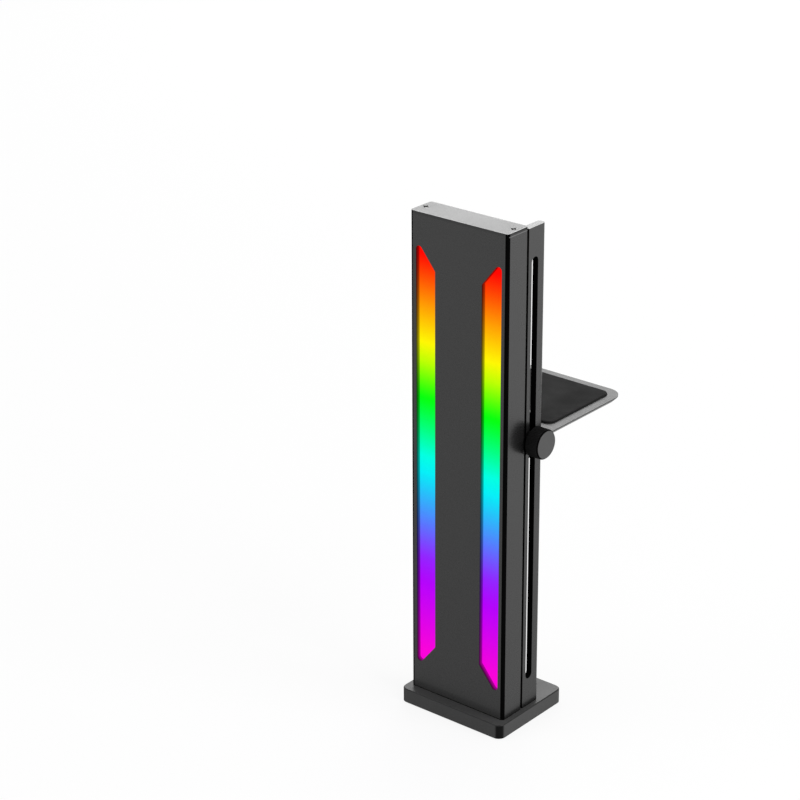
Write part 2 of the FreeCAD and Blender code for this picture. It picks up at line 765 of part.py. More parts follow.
def make_carriage():
    """The block that slides in the channel, with a tongue out of the open back for the tray."""
    body = new_body("carriage")
    block = new_sketch(body, "block", offset="-carriage_below")
    draw_rectangle(block, "block", f"-{CARRIAGE_HALF}", CARRIAGE_HALF, "0", "carriage_depth")
    add_pad(body, "block", block, "carriage_below + carriage_above")
    dress(body, "Fillet", "block_corners", lambda edge: runs_along(edge, "z"), "carriage_round")
    reach = f"({TRAY_FRONT} + tongue_reach - {CARRIAGE_FRONT})"
    tongue = new_sketch(body, "tongue", offset="tray_rise - tongue_thick")
    draw_rectangle(tongue, "tongue", "-tongue_width / 2", "tongue_width / 2", "carriage_depth / 2", reach)
    add_pad(body, "tongue", tongue, "tongue_thick")
    dress(
        body, "Fillet", "tongue_corners",
        lambda edge: runs_along(edge, "z") and at(edge, y=reach),
        "2 * carriage_round",
    )
    bore = new_sketch(body, "bore", "YZ_Plane", offset=CARRIAGE_HALF)
    draw_circle(bore, "bore", f"{SLOT_MIDDLE} - {CARRIAGE_FRONT}", "0", "stud_wide + 2 * running_gap")
    add_cut(body, "clamp_bore", bore, "thread_long + 1")
    taps = new_sketch(body, "taps", offset="tray_rise")
    for index, (x, y) in enumerate(tray_screw_places()):
        draw_circle(taps, f"tap{index}", x, f"{y} - {CARRIAGE_FRONT}", "tray_screw_shank + 2 * running_gap")
    add_cut(body, "taps", taps, "tongue_thick - 1")
    place(body, y=CARRIAGE_FRONT, z="arm_height")
    return body


def tray_screw_places():
    return [(f"{sign}tongue_width * 0.28", f"({TRAY_FRONT} + tongue_reach * 0.62)") for sign in ("", "-")]


def make_tray_plate():
    """The support tray, bevelled underneath so that it shows a thin edge."""
    body = new_body("tray_plate")
    outline = new_sketch(body, "outline")
    draw_rectangle(outline, "plate", "-tray_width / 2", "tray_width / 2", "0", "tray_depth")
    add_pad(body, "plate", outline, "tray_thick")
    holes = new_sketch(body, "holes")
    for index, (x, y) in enumerate(tray_screw_places()):
        draw_circle(holes, f"hole{index}", x, f"{y} - {TRAY_FRONT}", "tray_screw_shank + hole_gap")
    add_cut(body, "holes", holes, "tray_thick", backwards=True)
    dress(
        body, "Fillet", "rear_corners",
        lambda edge: runs_along(edge, "z") and at(edge, y="tray_depth"),
        "tray_corner",
    )
    dress(
        body, "Chamfer", "underside",
        lambda edge: at(edge, z="0") and not near(edge.BoundBox.YMin, "0") and not edge.isClosed(),
        "tray_bevel",
    )
    dress(
        body, "Fillet", "front_corners",
        lambda edge: runs_along(edge, "z") and at(edge, y="0"),
        "tray_front_corner",
    )
    recess = new_sketch(body, "recess", offset="tray_thick")
    draw_rectangle(
        recess, "recess",
        "rest_margin - tray_width / 2", "tray_width / 2 - rest_margin",
        "rest_front", "tray_depth - rest_margin",
    )
    add_cut(body, "rest_recess", recess, "rest_recess")
    dress(
        body, "Fillet", "recess_corners",
        lambda edge: runs_along(edge, "z") and near(edge.Length, "rest_recess")
        and near(abs(edge.BoundBox.XMin), "tray_width / 2 - rest_margin"),
        "rest_corner",
    )
    dress(
        body, "Chamfer", "countersinks",
        lambda edge: is_hole_rim(edge) and at(edge, z="tray_thick - rest_recess"),
        "(tray_screw_head - tray_screw_shank - hole_gap) / 2",
    )
    place(body, y=TRAY_FRONT, z=TRAY_UNDERSIDE)
    return body


def make_tray_screws():
    body = countersunk_screw("tray_screw", "tray_screw_head", "tray_screw_shank", "tray_screw_long")
    cut_hexagon(body, "tray_screw_head * 0.45", "1.0")
    level = f"{TRAY_UNDERSIDE} + tray_thick - rest_recess"
    return copies("tray_screws", body, [(x, y, level) for x, y in tray_screw_places()])


def make_card_rest():
    """The soft pad in the tray's recess."""
    body = new_body("card_rest")
    outline = new_sketch(body, "outline")
    draw_rectangle(
        outline, "pad",
        "rest_margin + running_gap - tray_width / 2", "tray_width / 2 - rest_margin - running_gap",
        "rest_front + running_gap", "tray_depth - rest_margin - running_gap",
    )
    add_pad(body, "pad", outline, "rest_thick")
    dress(body, "Fillet", "corners", lambda edge: runs_along(edge, "z"), "rest_corner")
    place(body, y=TRAY_FRONT, z=f"{TRAY_UNDERSIDE} + tray_thick - rest_recess")
    return body


def make_thumb_screw_head():
    """The round grip, turned with a short neck and broken edges, bored for its stud."""
    body = new_body("thumb_screw_head")
    profile = new_sketch(body, "profile", "XZ_Plane")
    bore = "(stud_wide / 2 + seat_gap)"
    rim = "head_wide / 2"
    draw_polygon(profile, "side", [
        ("0", bore), ("0", "washer_wide / 2 - head_edge"), ("head_neck", "washer_wide / 2 - head_edge"),
        ("head_neck", f"{rim} - head_edge"), ("head_neck + head_edge", rim),
        ("head_long - head_edge", rim), ("head_long", f"{rim} - head_edge"),
        ("head_long", "0"), ("stud_seat", "0"), ("stud_seat", bore),
    ])
    turn(body, "grip", profile, "H_Axis")
    place(body, "column_width / 2 + clamp_gap + washer_thick", SLOT_MIDDLE, "arm_height")
    return body


def make_thumb_screw_stud():
    stud = doc.addObject("Part::Cylinder", "thumb_screw_stud")
    stud.Label = "thumb_screw_stud"
    reach = "column_width / 2 + clamp_gap + washer_thick + stud_seat"
    start = f"({CARRIAGE_HALF} - thread_long)"
    bind(stud, Radius="stud_wide / 2", Height=f"{reach} - {start}")
    place(stud, start, SLOT_MIDDLE, "arm_height", FreeCAD.Rotation(FreeCAD.Vector(0, 1, 0), 90))
    return stud


def make_clamp_washer():
    return new_tube(
        "clamp_washer", "washer_wide", "stud_wide + 2 * running_gap", "washer_thick",
        "column_width / 2 + clamp_gap", SLOT_MIDDLE, "arm_height",
    )


def make_all():
    chip = doc.addObject("Part::Box", "light_chip")
    bind(chip, Length="chip_wide", Width="chip_thick", Height="chip_high")
    parts = [
        make_base_plate(),
        make_base_magnets(),
        make_anti_slip_sheet(),
        make_base_screws(),
        make_cable_grommet(),
        make_led_housing(),
        make_board_link(),
        make_joint_strip(),
        make_top_cap(),
        make_cap_screws(),
        make_rear_channel(),
        make_channel_screws(),
        make_carriage(),
        make_tray_plate(),
        make_tray_screws(),
        make_card_rest(),
        make_thumb_screw_head(),
        make_thumb_screw_stud(),
        make_clamp_washer(),
    ]
    for side in ("left", "right"):
        parts.append(make_light_bar(side))
        parts.append(make_light_board(side))
        parts.append(make_light_chips(side, chip))
    return parts


def check_document(parts):
    """Stops before anything is written if a feature failed or a sub-part is not a sound solid."""
    doc.recompute()
    for thing in doc.Objects:
        if "Invalid" in thing.State or "Error" in thing.State:
            raise RuntimeError(f"{thing.Name}: {thing.State}")
    for part in parts:
        if part.Shape.isNull() or not part.Shape.isValid() or not part.Shape.Solids:
            raise RuntimeError(f"{part.Label} is not a sound solid")


parts = make_all()
check_document(parts)
os.makedirs("parts", exist_ok=True)
for part in parts:
    part.Shape.exportStep(f"parts/{part.Label}.step")
    print(part.Label, len(part.Shape.Solids), round(part.Shape.Volume, 1))
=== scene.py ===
import math
import bmesh
import bpy
from mathutils import Matrix, Vector


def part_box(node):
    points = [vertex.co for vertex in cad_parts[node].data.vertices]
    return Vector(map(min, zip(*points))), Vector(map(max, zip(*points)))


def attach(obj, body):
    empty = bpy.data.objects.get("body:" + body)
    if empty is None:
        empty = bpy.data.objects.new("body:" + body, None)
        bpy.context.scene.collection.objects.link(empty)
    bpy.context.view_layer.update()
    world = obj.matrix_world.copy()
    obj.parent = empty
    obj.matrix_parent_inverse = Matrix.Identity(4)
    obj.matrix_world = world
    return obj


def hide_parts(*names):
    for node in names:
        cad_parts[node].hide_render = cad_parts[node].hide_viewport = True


# Looks of the support bracket: fine-blasted black extrusions, a pale cap, two rainbow light bars,
# a knurled thumb screw and a soft pad on the tray. Metres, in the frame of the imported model.

MM = 0.001

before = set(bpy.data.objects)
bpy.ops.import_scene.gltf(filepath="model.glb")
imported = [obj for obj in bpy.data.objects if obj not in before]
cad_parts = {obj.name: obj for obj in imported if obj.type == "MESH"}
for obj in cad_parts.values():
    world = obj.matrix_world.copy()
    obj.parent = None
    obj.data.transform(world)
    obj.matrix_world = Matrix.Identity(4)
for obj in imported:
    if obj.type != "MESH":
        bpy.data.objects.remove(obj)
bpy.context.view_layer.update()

HOUSING_LOW, HOUSING_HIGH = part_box("led_housing")
BASE_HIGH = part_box("base_plate")[1]
CAP_LOW, CAP_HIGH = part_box("top_cap")
CHANNEL_LOW, CHANNEL_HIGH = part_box("rear_channel")
HEAD_LOW, HEAD_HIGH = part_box("thumb_screw_head")
STUD_LOW, STUD_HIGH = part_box("thumb_screw_stud")
PAD_LOW, PAD_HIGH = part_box("card_rest")
BAR_LOW, BAR_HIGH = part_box("light_bar_right")

# Sizes that tell one area of a node from another
FRONT_WALL = BAR_LOW.y - HOUSING_LOW.y
CHANNEL_WALL = 2.9 * MM
WINDOW_MARGIN = 1.8 * MM
SLOT_REAR_MARGIN = 1.6 * MM
SLOT_TOP_MARGIN = 5 * MM
FRONT_CORNER_DEPTH = 3 * MM
FACE_SLACK = 0.05 * MM
WINDOW_SLACK = 0.04 * MM
CUT_SLACK = 0.02 * MM

# A face looks along an axis above the first value, straight along it above the second and another
# way below the third. The base's broken edge lies between the last two.
ALONG = 0.9
STRAIGHT_ALONG = 0.9995
OTHER_WAY = 0.5
BROKEN_EDGE_FROM = 0.3
BROKEN_EDGE_TO = 0.95

# Thin lines of painted light and shade: the painted contact shadow where the post meets the base,
# and the painted highlights and shade along the upper edges, and the knob's painted dark reflection
FOOT_LINE = 0.25 * MM
HOUSING_LINE = 0.3 * MM
CAP_LINE = 0.35 * MM
CAP_RIM = 0.35 * MM
KNOB_RING = 0.5 * MM

# The coat: its grains, its clouds of gloss, the tone of the painted shade, and the two main coats
BLAST_GRAIN = 0.22 * MM
BLAST_CLOUD = 14 * MM
PAINTED_SHADE_TONE = 0.002
POST_COAT = {"tone": 0.007, "roughness": 0.28, "specular": 0.55}
CAP_COAT = {"tone": 0.02, "roughness": 0.42, "specular": 0.3}

# Painted light in the shine of the coat: the share left at the foot, and what each way of facing adds or
# takes
FOOT_GLOSS = 0.52
SIDE_GLOSS = 0.36
TOP_GLOSS = 0.1
FRONT_GLOSS = -0.58

# How much of the full painted shade each place gets
REAR_CORNER_SHADE = 0.4
WINDOW_SHADE = 0.85
CAP_LINE_SHADE = 0.7
BASE_CORNER_SHADE = 0.85
BASE_EDGE_SHADE = 0.4

# Rainbow of the light bars, from the foot up: height above the floor in mm, and colour on a screen
RAINBOW = (
    (20, (0.98, 0.0, 0.85)),  # magenta
    (44, (0.73, 0.0, 0.98)),  # purple
    (56, (0.57, 0.16, 1.0)),  # violet
    (68, (0.36, 0.45, 1.0)),  # blue
    (88, (0.04, 0.94, 0.97)),  # cyan
    (94, (0.0, 1.0, 0.88)),  # turquoise
    (104, (0.0, 1.0, 0.49)),  # sea green
    (115, (0.04, 1.0, 0.08)),  # green
    (128, (0.73, 1.0, 0.0)),  # lime
    (135, (1.0, 0.97, 0.0)),  # yellow
    (148, (1.0, 0.61, 0.0)),  # orange
    (166, (1.0, 0.06, 0.0)),  # red
)
SCREEN_GAMMA = 2.2
WINDOW_GLOW = 0.45

# Studio
WHITE = (1, 1, 1, 1)
FLOOR_REACH = 12.0
FLOOR_GREY = (0.8, 0.8, 0.8, 1)
FLOOR_WHITE_SHARE = 0.85
WORLD_LIGHT = 0.75
LAMP_TARGET = (0, 0, 0.09)

# Colour sockets of the mix node
MIX_FIRST = 6
MIX_SECOND = 7
MIX_RESULT = 2


# Node helpers. The owner of a node is a material or the world.


def feed(owner, socket, value):
    """Sets an input to a number or a colour, or links another node's output to it."""
    if isinstance(value, bpy.types.NodeSocket):
        owner.node_tree.links.new(value, socket)
    else:
        socket.default_value = value


def add_node(owner, kind, inputs=(), **settings):
    node = owner.node_tree.nodes.new(kind)
    for name, value in settings.items():
        setattr(node, name, value)
    for name, value in dict(inputs).items():
        feed(owner, node.inputs[name], value)
    return node


def calculate(owner, operation, first, second=0.0, third=0.0):
    node = add_node(owner, "ShaderNodeMath", {0: first, 1: second, 2: third}, operation=operation)
    return node.outputs[0]


def difference(owner, first, second):
    return calculate(owner, "SUBTRACT", first, second)


def unsigned(owner, value):
    """The value without its sign."""
    return calculate(owner, "ABSOLUTE", value)


def combined(owner, operation, values):
    result = values[0]
    for value in values[1:]:
        result = calculate(owner, operation, result, value)
    return result


def total(owner, *values):
    return combined(owner, "ADD", values)


def product(owner, *values):
    """The values multiplied. Of masks: 1 only where all of them are 1."""
    return combined(owner, "MULTIPLY", values)


def highest(owner, *values):
    """The highest of the values. Of masks: 1 where any of them is 1."""
    return combined(owner, "MAXIMUM", values)


def above(owner, value, limit):
    return calculate(owner, "GREATER_THAN", value, limit)


def below(owner, value, limit):
    return calculate(owner, "LESS_THAN", value, limit)


def spread(owner, value, low, high, start=0.3, end=0.7):
    """Maps the range from start to end, by default the middle of a noise, to low to high."""
    inputs = {"Value": value, "From Min": start, "From Max": end, "To Min": low, "To Max": high}
    return add_node(owner, "ShaderNodeMapRange", inputs).outputs[0]


def ramp(owner, value, start, end):
    """Goes smoothly from 0 at start to 1 at end."""
    inputs = {"Value": value, "From Min": start, "From Max": end}
    return add_node(owner, "ShaderNodeMapRange", inputs, interpolation_type="SMOOTHSTEP").outputs[0]


def position(material):
    """A point on the object as a vector and as its three coordinates, in metres."""
    place = add_node(material, "ShaderNodeTexCoord").outputs["Object"]
    split = add_node(material, "ShaderNodeSeparateXYZ", {0: place})
    return place, split.outputs[0], split.outputs[1], split.outputs[2]


def facing(material):
    """How far a face looks along X, Y and Z, each from 0 to 1 and the same for both ways."""
    normal = add_node(material, "ShaderNodeTexCoord").outputs["Normal"]
    split = add_node(material, "ShaderNodeSeparateXYZ", {0: normal})
    return [unsigned(material, split.outputs[axis]) for axis in range(3)]


def noise(material, place, size, detail=2.0, roughness=0.5):
    """Noise from 0 to 1 with features of about the given size in metres."""
    inputs = {"Vector": place, "Scale": 1 / size, "Detail": detail, "Roughness": roughness}
    return add_node(material, "ShaderNodeTexNoise", inputs).outputs[0]


def grey(tone):
    return (tone, tone, tone)


def mix_color(material, factor, first, second):
    node = add_node(material, "ShaderNodeMix", {"Factor": factor}, data_type="RGBA")
    for socket, color in ((MIX_FIRST, first), (MIX_SECOND, second)):
        linked = isinstance(color, bpy.types.NodeSocket)
        feed(material, node.inputs[socket], color if linked else (*color, 1))
    return node.outputs[MIX_RESULT]


def speckle(material, grain, dark, light):
    """Changes between two colours with the grain."""
    return mix_color(material, spread(material, grain, low=0.0, high=1.0), dark, light)


def bump(material, height, distance, strength):
    inputs = {"Height": height, "Distance": distance, "Strength": strength}
    return add_node(material, "ShaderNodeBump", inputs).outputs[0]


def shader_of(material):
    return material.node_tree.nodes["Principled BSDF"]


def set_shader(material, name, value):
    """Sets or links one input of the material's shader."""
    feed(material, shader_of(material).inputs[name], value)


def new_material(name, color, roughness, metallic=0.0, specular=0.5):
    material = bpy.data.materials.new(name)
    material.use_nodes = True
    set_shader(material, "Base Color", (*color, 1))
    set_shader(material, "Roughness", roughness)
    set_shader(material, "Metallic", metallic)
    set_shader(material, "Specular IOR Level", specular)
    return material


# Coated metal


def blasted_black(name, tone, roughness, specular, gloss=None, shade=None):
    """Fine-blasted, black anodised metal: a dark coat, small grains and slow changes of gloss; gloss
    paints light into the shine, shade paints dark shade.
    """
    material = new_material(name, grey(tone), roughness, specular=specular)
    place = position(material)[0]
    grain = noise(material, place, BLAST_GRAIN, detail=3.0)
    cloud = noise(material, place, BLAST_CLOUD)
    grain_tone = spread(material, grain, low=0.8, high=1.25)
    cloud_tone = spread(material, cloud, low=0.92, high=1.08)
    mottle = product(material, grain_tone, cloud_tone)
    darkest = 0.7
    lightest = 1.35
    share = spread(material, mottle, low=0.0, high=1.0, start=darkest, end=lightest)
    color = mix_color(material, share, grey(tone * darkest), grey(tone * lightest))
    cloud_wear = spread(material, cloud, low=-0.03, high=0.03)
    grain_wear = spread(material, grain, low=-0.05, high=0.05)
    level = product(material, gloss(material), specular) if gloss else specular
    if shade:
        dark = shade(material)
        color = mix_color(material, dark, color, grey(PAINTED_SHADE_TONE))
        level = product(material, difference(material, 1.0, dark), level)
    set_shader(material, "Base Color", color)
    set_shader(material, "Roughness", total(material, cloud_wear, grain_wear, roughness))
    set_shader(material, "Specular IOR Level", level)
    set_shader(material, "Normal", bump(material, grain, distance=0.012 * MM, strength=0.5))
    return material


def changed_where(material, mask, change):
    """1, plus the change where the mask is 1."""
    return calculate(material, "MULTIPLY_ADD", mask, change, 1.0)


def painted_light_gloss(material):
    """Painted light: the shine rises towards the top and is stronger on the sides and on flat tops than
    in front, as light falls.
    """
    across, _, up = facing(material)
    z = position(material)[3]
    rise = spread(material, z, low=FOOT_GLOSS, high=1.0, start=BASE_HIGH.z, end=CAP_HIGH.z)
    side = changed_where(material, above(material, across, ALONG), SIDE_GLOSS)
    top = changed_where(material, above(material, up, ALONG), TOP_GLOSS)
    return product(material, rise, side, top)


def straight_in_front(material):
    """1 on the faces that look straight along Y, without the rounded corners."""
    return above(material, facing(material)[1], STRAIGHT_ALONG)


def housing_front_painted_gloss(material):
    """Painted light: the housing's front shines less than the rest of the coat."""
    front = changed_where(material, straight_in_front(material), FRONT_GLOSS)
    return product(material, painted_light_gloss(material), front)


def round_corners(material, start=0.01, end=0.06):
    """The rounded upright corners, painted near black as a painted dark reflection, and reflecting almost
    nothing.
    """
    across, along, _ = facing(material)
    return ramp(material, product(material, across, along), start, end)


def foot_shadow_line(material):
    """1 on the thin line at the foot, where the post meets the base, which gets a painted contact shadow.
    """
    return below(material, position(material)[3], BASE_HIGH.z + FOOT_LINE)


def window_walls(material, x, depth):
    """1 on the walls of the two windows."""
    return product(
        material,
        above(material, depth, WINDOW_SLACK),
        below(material, depth, FRONT_WALL + CUT_SLACK),
        below(material, unsigned(material, x), HOUSING_HIGH.x - WINDOW_MARGIN),
    )


def housing_shade(material):
    """Painted shade: the corners in front are the darkest, as a painted dark reflection; the walls of the
    windows get painted shade and keep only the light of the bars; the foot gets a painted contact shadow.
    """
    _, x, y, _ = position(material)
    depth = difference(material, y, HOUSING_LOW.y)
    in_front = below(material, depth, FRONT_CORNER_DEPTH)
    strength = spread(material, in_front, low=REAR_CORNER_SHADE, high=1.0, start=0.0, end=1.0)
    corner = product(material, round_corners(material), strength)
    walls = product(material, window_walls(material, x, depth), WINDOW_SHADE)
    return highest(material, corner, walls, foot_shadow_line(material))


def cap_shade(material):
    """The rounded corners, as a painted dark reflection, and a thin line of painted shade under the upper
    edge at the two ends.
    """
    across = facing(material)[0]
    z = position(material)[3]
    end_faces = above(material, across, ALONG)
    line = product(material, end_faces, above(material, z, CAP_HIGH.z - CAP_LINE), CAP_LINE_SHADE)
    return highest(material, round_corners(material), line)


def base_shade(material):
    """Painted shade: the rounded corners, as a painted dark reflection, and the broken upper edge,
    painted darker so it shows no bright highlight.
    """
    up = facing(material)[2]
    corner = product(material, round_corners(material, start=0.1, end=0.36), BASE_CORNER_SHADE)
    edge = product(
        material,
        above(material, up, BROKEN_EDGE_FROM),
        below(material, up, BROKEN_EDGE_TO),
        BASE_EDGE_SHADE,
    )
    return highest(material, corner, edge)


def channel_shade(material):
    """Painted shade: the slot's walls and the face towards the joint are painted near black as deep
    shade, and the foot's line gets a painted contact shadow.
    """
    _, x, y, z = position(material)
    across = facing(material)[0]
    joint = below(material, y, CHANNEL_LOW.y + FACE_SLACK)
    slot = product(
        material,
        above(material, x, CHANNEL_HIGH.x - CHANNEL_WALL + FACE_SLACK),
        below(material, x, CHANNEL_HIGH.x - CUT_SLACK),
        below(material, y, CHANNEL_HIGH.y - SLOT_REAR_MARGIN),
        below(material, z, CHANNEL_HIGH.z - SLOT_TOP_MARGIN),
        below(material, across, OTHER_WAY),
    )
    return highest(material, joint, slot, foot_shadow_line(material))


def paint_over(material, mask, color):
    """Puts another colour over the base colour where the mask is 1."""
    under = shader_of(material).inputs["Base Color"].links[0].from_socket
    set_shader(material, "Base Color", mix_color(material, mask, under, color))


def paint_top(material, tone, grain_size, level):
    """Gives the flat faces at the given height a speckled tone of their own."""
    place, _, _, z = position(material)
    grain = noise(material, place, grain_size, roughness=0.7)
    color = speckle(material, grain, grey(tone * 0.86), grey(tone * 1.14))
    flat = above(material, facing(material)[2], ALONG)
    paint_over(material, product(material, flat, above(material, z, level - FACE_SLACK)), color)


def add_light_spill(material):
    """The light that the bars throw on the walls of their windows, fading towards the front."""
    _, x, y, z = position(material)
    depth = difference(material, y, HOUSING_LOW.y)
    overshoot = 0.15 * FRONT_WALL
    rise = ramp(material, depth, -overshoot, FRONT_WALL + overshoot)
    set_shader(material, "Emission Color", rainbow(material, z))
    glow = product(material, window_walls(material, x, depth), rise, WINDOW_GLOW)
    set_shader(material, "Emission Strength", glow)


def housing_material():
    """Painted light: the front is a little paler; a thin pale line of painted highlight runs along the
    upper edge of the two sides.
    """
    material = blasted_black("housing_black", gloss=housing_front_painted_gloss, shade=housing_shade, **POST_COAT)
    place, _, _, z = position(material)
    grain = noise(material, place, BLAST_GRAIN, detail=3.0)
    # Painted light: the front is painted paler, in place of the shine it loses
    painted_front_color = speckle(material, grain, grey(0.032), grey(0.04))
    over_foot = above(material, z, BASE_HIGH.z + FOOT_LINE)
    paint_over(material, product(material, straight_in_front(material), over_foot), painted_front_color)
    # Painted highlight: a thin pale line along the top of the two sides
    sides = above(material, facing(material)[0], ALONG)
    painted_edge_highlight = above(material, z, HOUSING_HIGH.z - HOUSING_LINE)
    paint_over(material, product(material, sides, painted_edge_highlight), grey(0.09))
    add_light_spill(material)
    return material


def channel_material():
    """The saw-cut upper end is bare."""
    material = blasted_black("channel_black", gloss=painted_light_gloss, shade=channel_shade, **POST_COAT)
    paint_top(material, tone=0.14, grain_size=0.3 * MM, level=CHANNEL_HIGH.z)
    return material


def cap_material():
    """A pale, finely speckled top with a brighter rim of painted highlight."""
    material = blasted_black("cap_grey", shade=cap_shade, **CAP_COAT)
    paint_top(material, tone=0.215, grain_size=0.34 * MM, level=CAP_HIGH.z)
    _, x, y, z = position(material)
    near_edge = highest(
        material,
        above(material, unsigned(material, x), CAP_HIGH.x - CAP_RIM),
        above(material, y, CAP_HIGH.y - CAP_RIM),
        below(material, y, CAP_LOW.y + CAP_RIM),
    )
    on_top = above(material, z, CAP_HIGH.z - FACE_SLACK)
    # Painted highlight along the rim of the top
    painted_rim_highlight = 0.35
    paint_over(material, product(material, on_top, near_edge, painted_rim_highlight), grey(0.5))
    return material


def cap_screw_material():
    """The screw heads match the cap, and their cross recess is dark."""
    material = blasted_black("cap_screw", **CAP_COAT)
    paint_top(material, tone=0.225, grain_size=0.2 * MM, level=CAP_HIGH.z)
    return material


def base_material():
    """Painted light: the flat top of the base is a little lighter than its sides."""
    material = blasted_black(
        "base_coat",
        tone=0.024,
        roughness=0.38,
        specular=0.47,
        gloss=painted_light_gloss,
        shade=base_shade,
    )
    paint_top(material, tone=0.05, grain_size=0.25 * MM, level=BASE_HIGH.z)
    return material


# Screws


def knob_face_material():
    """The turned end face: fine rings about the screw's axis."""
    material = new_material("knob_face", grey(0.031), roughness=0.38)
    place, _, y, z = position(material)
    middle = (HEAD_LOW + HEAD_HIGH) / 2
    across = difference(material, y, middle.y)
    rise = difference(material, z, middle.z)
    squares = total(
        material,
        calculate(material, "POWER", across, 2.0),
        calculate(material, "POWER", rise, 2.0),
    )
    radius = calculate(material, "SQRT", squares)
    ring_width = 0.16 * MM
    rings = calculate(material, "SINE", product(material, radius, 2 * math.pi / ring_width))
    grain = noise(material, place, 0.2 * MM)
    set_shader(material, "Base Color", speckle(material, grain, grey(0.024), grey(0.037)))
    set_shader(material, "Normal", bump(material, rings, distance=0.004 * MM, strength=0.4))
    return material


def knob_grip_material():
    """The knurled side, with a glossless ring of painted dark reflection where its edge is broken beside
    the face.
    """
    material = new_material("knob_grip", grey(0.004), roughness=0.55)
    place, x, _, _ = position(material)
    grain = noise(material, place, 0.15 * MM)
    ring = above(material, x, HEAD_HIGH.x - KNOB_RING)
    color = speckle(material, grain, grey(0.003), grey(0.007))
    set_shader(material, "Base Color", mix_color(material, ring, color, grey(0.0005)))
    grip_gloss = 0.12
    ring_gloss = 0.01
    gloss = spread(material, ring, low=grip_gloss, high=ring_gloss, start=0.0, end=1.0)
    set_shader(material, "Specular IOR Level", gloss)
    set_shader(material, "Normal", bump(material, grain, distance=0.01 * MM, strength=0.5))
    return material


def bare_steel(name, tone, roughness):
    material = new_material(name, grey(tone), roughness, metallic=1.0)
    grain = noise(material, position(material)[0], 0.1 * MM)
    set_shader(material, "Base Color", speckle(material, grain, grey(tone * 0.8), grey(tone * 1.2)))
    wear = 0.06
    set_shader(material, "Roughness", spread(material, grain, roughness - wear, roughness + wear))
    return material


# Plastics, rubber and lights


def rubber_material(name, tone):
    material = new_material(name, grey(tone), roughness=0.85, specular=0.12)
    place = position(material)[0]
    grain = noise(material, place, 0.35 * MM, detail=4.0, roughness=0.7)
    cloud = noise(material, place, 9 * MM)
    grain_share = spread(material, grain, low=0.0, high=0.6)
    cloud_share = spread(material, cloud, low=0.0, high=0.4)
    share = total(material, grain_share, cloud_share)
    set_shader(material, "Base Color", mix_color(material, share, grey(tone * 0.7), grey(tone * 1.4)))
    set_shader(material, "Roughness", spread(material, cloud, low=0.72, high=0.88))
    set_shader(material, "Normal", bump(material, grain, distance=0.03 * MM, strength=0.6))
    return material


def plain_plastic(name, color, roughness, specular=0.4):
    material = new_material(name, color, roughness, specular=specular)
    grain = noise(material, position(material)[0], 0.3 * MM)
    dark = [part * 0.85 for part in color]
    light = [part * 1.1 for part in color]
    set_shader(material, "Base Color", speckle(material, grain, dark, light))
    set_shader(material, "Normal", bump(material, grain, distance=0.006 * MM, strength=0.4))
    return material


def rainbow(material, z):
    """The colour of the light at a height: magenta at the foot, through blue and green, to red."""
    low = RAINBOW[0][0] * MM
    high = RAINBOW[-1][0] * MM
    height = spread(material, z, low=0.0, high=1.0, start=low, end=high)
    colors = add_node(material, "ShaderNodeValToRGB", {"Fac": height})
    stops = colors.color_ramp.elements
    while len(stops) < len(RAINBOW):
        stops.new(0.5)
    for stop, (level, color) in zip(stops, RAINBOW):
        stop.position = (level * MM - low) / (high - low)
        stop.color = (*color, 1)
    screen = {"Color": colors.outputs[0], "Gamma": SCREEN_GAMMA}
    return add_node(material, "ShaderNodeGamma", screen).outputs[0]


def light_material():
    """A milky bar lit from behind, weaker along its two hidden long edges."""
    material = new_material("light_bar", grey(0.002), roughness=0.6, specular=0.0)
    place, x, _, z = position(material)
    middle = (BAR_LOW.x + BAR_HIGH.x) / 2
    half_width = (BAR_HIGH.x - BAR_LOW.x) / 2
    edge_start = half_width * 0.85
    edge_loss = 0.6
    off_middle = unsigned(material, difference(material, unsigned(material, x), middle))
    loss = product(material, ramp(material, off_middle, edge_start, half_width), edge_loss)
    milk = spread(material, noise(material, place, 1.5 * MM), low=0.985, high=1.015)
    set_shader(material, "Emission Color", rainbow(material, z))
    set_shader(material, "Emission Strength", product(material, difference(material, 1.0, loss), milk))
    return material


# Pieces


def add_object(name, content):
    thing = bpy.data.objects.new(name, content)
    bpy.context.scene.collection.objects.link(thing)
    return thing


def new_piece(name, mesh_data, material_list, body):
    bmesh.ops.recalc_face_normals(mesh_data, faces=mesh_data.faces)
    mesh = bpy.data.meshes.new(name)
    mesh_data.to_mesh(mesh)
    mesh_data.free()
    for material in material_list:
        mesh.materials.append(material)
    piece = add_object(name, mesh)
    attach(piece, body)
    return piece


def ring_of(mesh, x, radii, middle):
    """One closed ring of points about the X axis, with a radius for each point."""
    points = []
    for index, radius in enumerate(radii):
        angle = 2 * math.pi * index / len(radii)
        y = middle.y + radius * math.cos(angle)
        z = middle.z + radius * math.sin(angle)
        points.append(mesh.verts.new((x, y, z)))
    return points


def join_rings(mesh, first, second, material_index=0, smooth=False):
    count = len(first)
    for index in range(count):
        after = (index + 1) % count
        face = mesh.faces.new((first[index], first[after], second[after], second[index]))
        face.material_index = material_index
        face.smooth = smooth


def close_ends(mesh, rings, last_material=0):
    end = mesh.faces.new(rings[-1])
    end.material_index = last_material
    mesh.faces.new(list(reversed(rings[0])))


